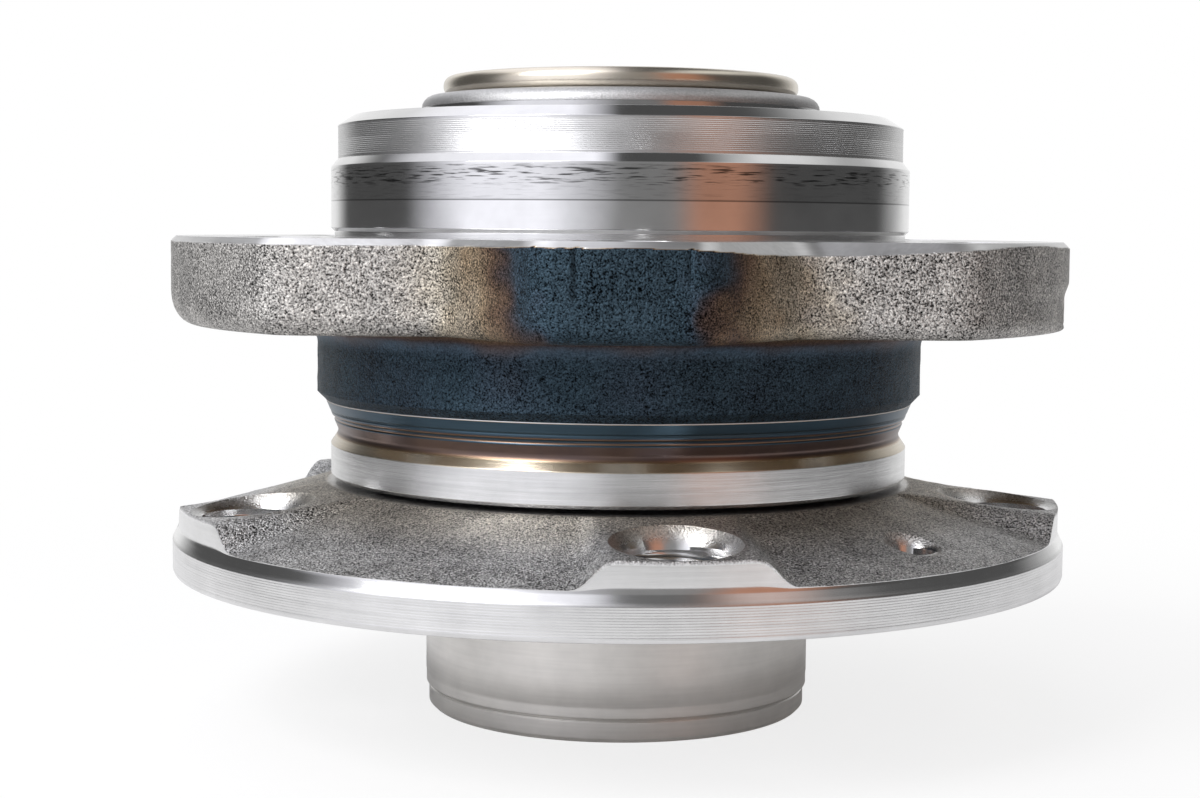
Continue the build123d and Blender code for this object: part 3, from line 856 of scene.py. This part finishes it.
class Finish:
    """A material, or the world, whose nodes are added by one method."""

    def __init__(self, owner, **constants):
        self.owner = owner
        owner.use_nodes = True
        self.tree = owner.node_tree
        self.tree.nodes.clear()
        self.constants = constants

    def node(self, kind, settings=None, inputs=None, output=0):
        """Adds a node, sets it up, links or sets its inputs, and gives one output. Stops are a ramp's,
        its two ends first."""
        node = self.tree.nodes.new(kind)
        for name, value in (settings or {}).items():
            if name == "stops":
                ramp = node.color_ramp
                for place, colour in value[2:]:
                    ramp.elements.new(place).color = (*colour, 1)
                for end, (place, colour) in zip((0, -1), value):
                    ramp.elements[end].position, ramp.elements[end].color = place, (*colour, 1)
            else:
                setattr(node, name, value)
        for name, value in (inputs or {}).items():
            if isinstance(value, Socket):
                self.tree.links.new(value.output, node.inputs[name])
            else:
                node.inputs[name].default_value = value
        return Socket(self, node.outputs[output]) if node.outputs else None

    def mark(self, name):
        """A mark of the mesh, as Skin.add wrote it."""
        return self.node("ShaderNodeAttribute", {"attribute_name": name}, output="Fac")

    def clamp(self, value, low, high, to_low=0.0, to_high=1.0):
        """to_low up to low, to_high past high, and a smooth step between them."""
        return self.node("ShaderNodeMapRange", {"interpolation_type": "SMOOTHSTEP"},
                         {0: value, 1: low, 2: high, 3: to_low, 4: to_high})

    def mix(self, share, first, second, blend="MIX"):
        return self.node("ShaderNodeMix", {"data_type": "RGBA", "blend_type": blend},
                         {0: share, 6: first, 7: second}, 2)

    def vector(self, operation, first, second=(0, 0, 0)):
        return self.node("ShaderNodeVectorMath", {"operation": operation}, {0: first, 1: second})

    def millimetres(self):
        """Place on the piece, in mm."""
        place = self.node("ShaderNodeTexCoord", output="Object")
        return self.vector("MULTIPLY", place, (1 / MM, 1 / MM, 1 / MM))

    def grain(self, place, scale, detail=2.0, rough=0.5):
        """Even noise, with about this many grains to a millimetre."""
        return self.node("ShaderNodeTexNoise", {}, {"Vector": place, "Scale": scale, "Detail": detail,
                                                    "Roughness": rough})

    def turning(self, place, across, along):
        """Noise that runs round the axis: fast across the tool marks, slow along them."""
        flat = self.vector("MULTIPLY", place, (1, 1, 0))
        radius = self.node("ShaderNodeVectorMath", {"operation": "LENGTH"}, {0: flat}, "Value")
        way = self.node("ShaderNodeVectorMath", {"operation": "NORMALIZE"}, {0: flat})
        height = self.node("ShaderNodeSeparateXYZ", {}, {0: place}, "Z")
        spot = self.node("ShaderNodeSeparateXYZ", {}, {0: way})
        spread = {0: radius * across, 1: height * across, 2: spot["X"] * along}
        where = self.node("ShaderNodeCombineXYZ", {}, spread)
        return self.node("ShaderNodeTexNoise", {"noise_dimensions": "4D"},
                         {"Vector": where, "W": spot["Y"] * along, "Scale": 1.0, "Detail": 2.0})

    def surface(self, **sockets):
        """Ends the material in a Principled shader with these sockets."""
        shader = self.node("ShaderNodeBsdfPrincipled", {}, {**self.constants, **sockets})
        self.node("ShaderNodeOutputMaterial", {}, {"Surface": shader})
        return self.owner


# Steel's colour from bare to blue black as the tint mark rises: part oxide tint, part painted reflection,
# the room's blue and brown put into the steel's own colour
TINT_AND_REFLECTION_RAMP = [(0.0, (0.62, 0.62, 0.62)), (1.0, (0.05, 0.08, 0.105)), (0.2, (0.58, 0.52, 0.42)),
          (0.36, (0.44, 0.34, 0.23)), (0.52, (0.22, 0.145, 0.10)), (0.64, (0.11, 0.08, 0.075)),
          (0.78, (0.065, 0.095, 0.13)), (0.88, (0.055, 0.09, 0.12))]


def scuffed(finish, place, shade, strength):
    """Darker rub marks round the upper half of the pilot, and a fine dark line below them."""
    low, high, densest = knuckle_face + 5.15, knuckle_face + pilot_rise, knuckle_face + 9.1
    height = finish.node("ShaderNodeSeparateXYZ", {}, {0: place}, "Z")
    on_pilot = finish.clamp(height, low - 0.1, low + 0.1)
    on_pilot = on_pilot * finish.clamp(height, high - 0.1, high - 0.4)
    rows = finish.turning(place, 0.0, 3.0) * 1.2 + height
    rub = finish.clamp(finish.turning(place, 4.5, 14.0), 0.50, 0.66)
    near = finish.clamp((rows - densest) ** 2, 2.6, 0.1, 0.15, 1.0)
    edge = finish.clamp((height - low) ** 2, 0.02, 0.0, 0.0, 0.6)
    return shade * (1 - on_pilot * (0.12 + rub * near * strength)) * (1 - edge)


def steel(name, brightness=1.0, scuffs=0.0):
    """Forged and machined steel in one finish: the marks on a mesh say where it is a blasted forging,
    how far it is tinted, part by oxide and part by painted reflection, how rough it is and how
    strongly it shows tool marks."""
    finish = Finish(bpy.data.materials.new(name), Metallic=1.0)
    place = finish.millimetres()
    forged, temper, rough, lines = (finish.mark(mark) for mark in MARKS)
    fine = finish.grain(place, 4.2, 2.0, 0.6)
    broad = finish.grain(place, 0.16, 3.0, 0.6)
    cells = finish.node("ShaderNodeTexVoronoi", {"feature": "F1"}, {"Vector": place, "Scale": 2.1},
                        "Distance")
    tool = finish.turning(place, 9.0, 9.0)
    streak = finish.turning(place, 2.2, 3.0)

    # The tint, part oxide tint and part painted reflection, wanders a little with broad noise
    tint_and_reflection_level = temper + (broad - 0.5) * 0.2 * temper
    tint = finish.node("ShaderNodeValToRGB", {"stops": TINT_AND_REFLECTION_RAMP}, {0: tint_and_reflection_level})
    crust = 0.86 - cells * 0.5 + (fine - 0.5) * 3.6 + (broad - 0.5) * 0.5
    shade = 1 + forged * (crust - 1.0) - lines * (streak - 0.4) * 0.35
    shade = (shade + (broad - 0.5) * 0.3) * brightness
    if scuffs:
        shade = scuffed(finish, place, shade, scuffs)
    grey = finish.node("ShaderNodeCombineColor", {}, {0: shade, 1: shade, 2: shade})
    colour = finish.mix(1.0, tint, grey, "MULTIPLY")
    height = forged * (fine * 0.2 - cells * 0.06) + lines * (tool * 0.004 + streak * 0.006)
    bump = finish.node("ShaderNodeBump", {}, {"Strength": 1.0, "Distance": MM, "Height": height})
    blasted = rough + forged * (fine - 0.5) * 0.5
    return finish.surface(**{"Base Color": colour, "Roughness": blasted, "Normal": bump})


def rubber(name, colour, rough):
    """Moulded rubber: a faint orange peel and a dusty bloom."""
    finish = Finish(bpy.data.materials.new(name))
    place = finish.millimetres()
    bloom = finish.grain(place, 0.4, 3.0)
    peel = finish.grain(place, 3.0, 2.0)
    shade = finish.mix(bloom, (*colour, 1), (*(1.9 * part + 0.01 for part in colour), 1))
    bump = finish.node("ShaderNodeBump", {}, {"Strength": 0.6, "Distance": MM, "Height": peel * 0.04})
    return finish.surface(**{"Base Color": shade, "Roughness": rough + (bloom - 0.5) * 0.2, "Normal": bump})


def polyamide(name):
    """Glass filled polyamide of the cages: fibres show as fine pale flecks."""
    finish = Finish(bpy.data.materials.new(name))
    place = finish.millimetres()
    fibres = finish.grain(finish.vector("MULTIPLY", place, (1, 1, 6)), 1.6, 3.0, 0.7)
    shade = finish.mix(finish.clamp(fibres, 0.55, 0.75), (0.11, 0.10, 0.085, 1), (0.20, 0.18, 0.15, 1))
    bump = finish.node("ShaderNodeBump", {}, {"Strength": 0.4, "Distance": MM, "Height": fibres * 0.03})
    return finish.surface(**{"Base Color": shade, "Roughness": 0.5 + (fibres - 0.5) * 0.3, "Normal": bump})


def lapped(name):
    """Lapped ball steel: bright, with a faint haze of grease."""
    finish = Finish(bpy.data.materials.new(name), Metallic=1.0)
    haze = finish.grain(finish.millimetres(), 0.3, 3.0)
    shade = finish.mix(haze, (0.68, 0.68, 0.70, 1), (0.80, 0.80, 0.82, 1))
    return finish.surface(**{"Base Color": shade, "Roughness": 0.06 + haze * 0.08})


ring_steel = steel("forged_ring_steel", 1.0, 0.75)
hub_steel = steel("forged_hub_steel", 1.08)
ground_steel = steel("ground_ring_steel", 0.8)
sheet_steel = steel("seal_sheet_steel")
black_rubber = rubber("seal_rubber", (0.022, 0.022, 0.023), 0.5)
encoder_rubber = rubber("encoder_rubber", (0.035, 0.03, 0.028), 0.42)
cage_plastic = polyamide("cage_polyamide")
ball_steel = lapped("ball_steel")

forged_ring().piece("outer_ring_forging", "knuckle_side", "forged_ring_steel", ring_steel, "outer_ring")
turned_ring().piece("outer_ring_turned", "knuckle_side", "forged_ring_steel", ring_steel, "outer_ring")
knuckle_threads().piece("knuckle_bolt_threads", "knuckle_side", "forged_ring_steel", ring_steel)
hub_flange().piece("hub_flange", "hub", "forged_hub_steel", hub_steel, "wheel_hub")
hub_shaft().piece("hub_shaft", "hub", "forged_hub_steel", hub_steel, "wheel_hub")
wheel_threads().piece("wheel_bolt_threads", "hub", "forged_hub_steel", hub_steel)
inner_ring().piece("inner_ring_ground", "hub", "ground_ring_steel", ground_steel, "inner_ring")

# Each seal's end of the ring, its side, and the radius and the face that its lips run on
for side, end, way, run_r, face in (
        ("outboard", ring_low, -1, shoulder_r, face_height),
        ("inboard", ring_high, 1, shoulder_r + sheet, slinger_high - sheet)):
    seal_case(end, way).piece(
        f"{side}_case", "knuckle_side", "seal_sheet_steel", sheet_steel, f"{side}_seal_case")
    seal_lips(end, way, run_r, face).piece(
        f"{side}_lips", "knuckle_side", "seal_rubber", black_rubber, f"{side}_seal_lips")
slinger().piece("slinger_ring", "hub", "seal_sheet_steel", sheet_steel, "inboard_slinger")
encoder().piece("encoder_disc", "hub", "encoder_rubber", encoder_rubber, "encoder_ring")

for name, node in frame["nodes"].items():
    for word, finish in (("cage", cage_plastic), ("ball", ball_steel)):
        if word in name:
            node.data.materials.clear()
            node.data.materials.append(finish)


# ---------------------------------------------------------------- table, light and camera

def table():
    """White table. Camera and mirrors see it lit almost evenly, with the bearing's shadow round its
    foot; in mirrors the shadow is darker."""
    side, height = 0.31, hub_low * MM
    corners = [(x * side, y * side, height) for x, y in ((-1, -1), (1, -1), (1, 1), (-1, 1))]
    mesh = bpy.data.meshes.new("table")
    mesh.from_pydata(corners, [], [(0, 1, 2, 3)])
    floor = bpy.data.objects.new("table", mesh)
    bpy.context.scene.collection.objects.link(floor)
    finish = Finish(bpy.data.materials.new("white_table"))
    place = finish.node("ShaderNodeTexCoord", output="Object")
    reach = finish.node("ShaderNodeVectorMath", {"operation": "LENGTH"}, {0: place}, "Value")
    paper = finish.node("ShaderNodeBsdfDiffuse", {}, {"Color": (0.85, 0.85, 0.85, 1)})
    glow = finish.node("ShaderNodeEmission", {}, {"Color": (1, 1, 1, 1), "Strength": 1.0})
    path = finish.node("ShaderNodeLightPath")
    seen = path["Is Camera Ray"] + path["Is Glossy Ray"] + path["Is Transmission Ray"]
    share = finish.clamp(reach, 0.02, 0.26, 0.8, 1.0)
    share = share - path["Is Glossy Ray"] * finish.clamp(reach, 0.40, 0.03, 0, 0.72)
    both = finish.node("ShaderNodeMixShader", {}, {0: seen * share, 1: paper, 2: glow})
    finish.node("ShaderNodeOutputMaterial", {}, {"Surface": both})
    mesh.materials.append(finish.owner)


# Light that comes from each part of the room
WALL, DIM_WALL, CORNER = (1.0, 1.0, 1.0), (0.3, 0.3, 0.3), (0.1, 0.1, 0.1)
WINDOW, WARM_LAMP = (1.5, 1.5, 1.6), (0.6, 0.3, 0.2)

# What stands round the bearing, by angle: 0 is towards the camera and 90 to its right
ROOM = [(-180, WALL), (180, WALL), (-150, WALL), (-135, CORNER), (-90, CORNER), (-60, WINDOW),
        (-30, WINDOW), (0, DIM_WALL), (20, DIM_WALL), (30, WARM_LAMP), (45, WARM_LAMP), (60, CORNER),
        (120, CORNER), (150, WALL)]

# What hangs above it, from left (-1) to right (1)
CEILING = [(-1.0, WALL), (1.0, WALL), (-0.4, WINDOW), (-0.1, WINDOW), (0.0, CORNER), (0.3, CORNER),
           (0.5, WALL)]


def half_bright(lights, low, high):
    """Stops of a ramp from low to high, at half brightness, because a ramp's colours end at 1."""
    return [((place - low) / (high - low), tuple(part / 2 for part in colour)) for place, colour in lights]


def room():
    """Soft light of the room by direction: a white wall behind, dark corners at both sides, a window
    to the front left, a dim wall in front with one warm lamp to its right, and above it a skylight
    and a dark beam. What the camera sees past the table is white."""
    world = bpy.data.worlds.new("room")
    bpy.context.scene.world = world
    finish = Finish(world)
    way = finish.node("ShaderNodeTexCoord", output="Generated")
    way = finish.node("ShaderNodeSeparateXYZ", {}, {0: way})
    turn = finish.node("ShaderNodeMath", {"operation": "ARCTAN2"}, {0: way["X"], 1: 0 - way["Y"]})
    walls = finish.node("ShaderNodeValToRGB", {"stops": half_bright(ROOM, -180, 180)},
                        {0: turn / (2 * np.pi) + 0.5})
    ceiling = finish.node("ShaderNodeValToRGB", {"stops": half_bright(CEILING, -1, 1)},
                          {0: way["X"] * 0.5 + 0.5})
    light = finish.mix(finish.clamp(way["Z"], 0.5, 0.8), walls, ceiling)
    light = finish.mix(1.0, light, (2.0, 2.0, 2.0, 1), "MULTIPLY")
    seen = finish.node("ShaderNodeLightPath", output="Is Camera Ray")
    light = finish.mix(seen, light, (1, 1, 1, 1))
    sky = finish.node("ShaderNodeBackground", {}, {"Color": light, "Strength": 1.0})
    finish.node("ShaderNodeOutputWorld", {}, {"Surface": sky})


def soft_box(name, place, aim, size, power):
    """Square area lamp at a place, facing a point; both in mm."""
    lamp = bpy.data.lights.new(name, "AREA")
    lamp.size, lamp.energy = size * MM, power
    light = bpy.data.objects.new(name, lamp)
    way = Vector(aim) - Vector(place)
    light.location = Vector(place) * MM
    light.rotation_euler = way.to_track_quat("-Z", "Y").to_euler()
    bpy.context.scene.collection.objects.link(light)


def camera():
    """Long lens level with the knuckle flange, looking 4.7 degrees down."""
    focal, sensor, near = 62.77, 36.0, 0.01
    look_down, roll = 4.723, -0.451
    lens = bpy.data.cameras.new("camera")
    lens.lens, lens.sensor_width, lens.clip_start = focal, sensor, near
    view = bpy.data.objects.new("camera", lens)
    view.location = (-2.92 * MM, -312.0 * MM, 49.8 * MM)
    view.rotation_euler = np.radians((90 - look_down, roll, 0.0))
    bpy.context.scene.collection.objects.link(view)
    bpy.context.scene.camera = view


table()
room()
soft_box("key", (-420, -380, 520), (0, 0, 30), 380, 4.0)
camera()
bpy.context.scene.view_settings.view_transform = "Standard"
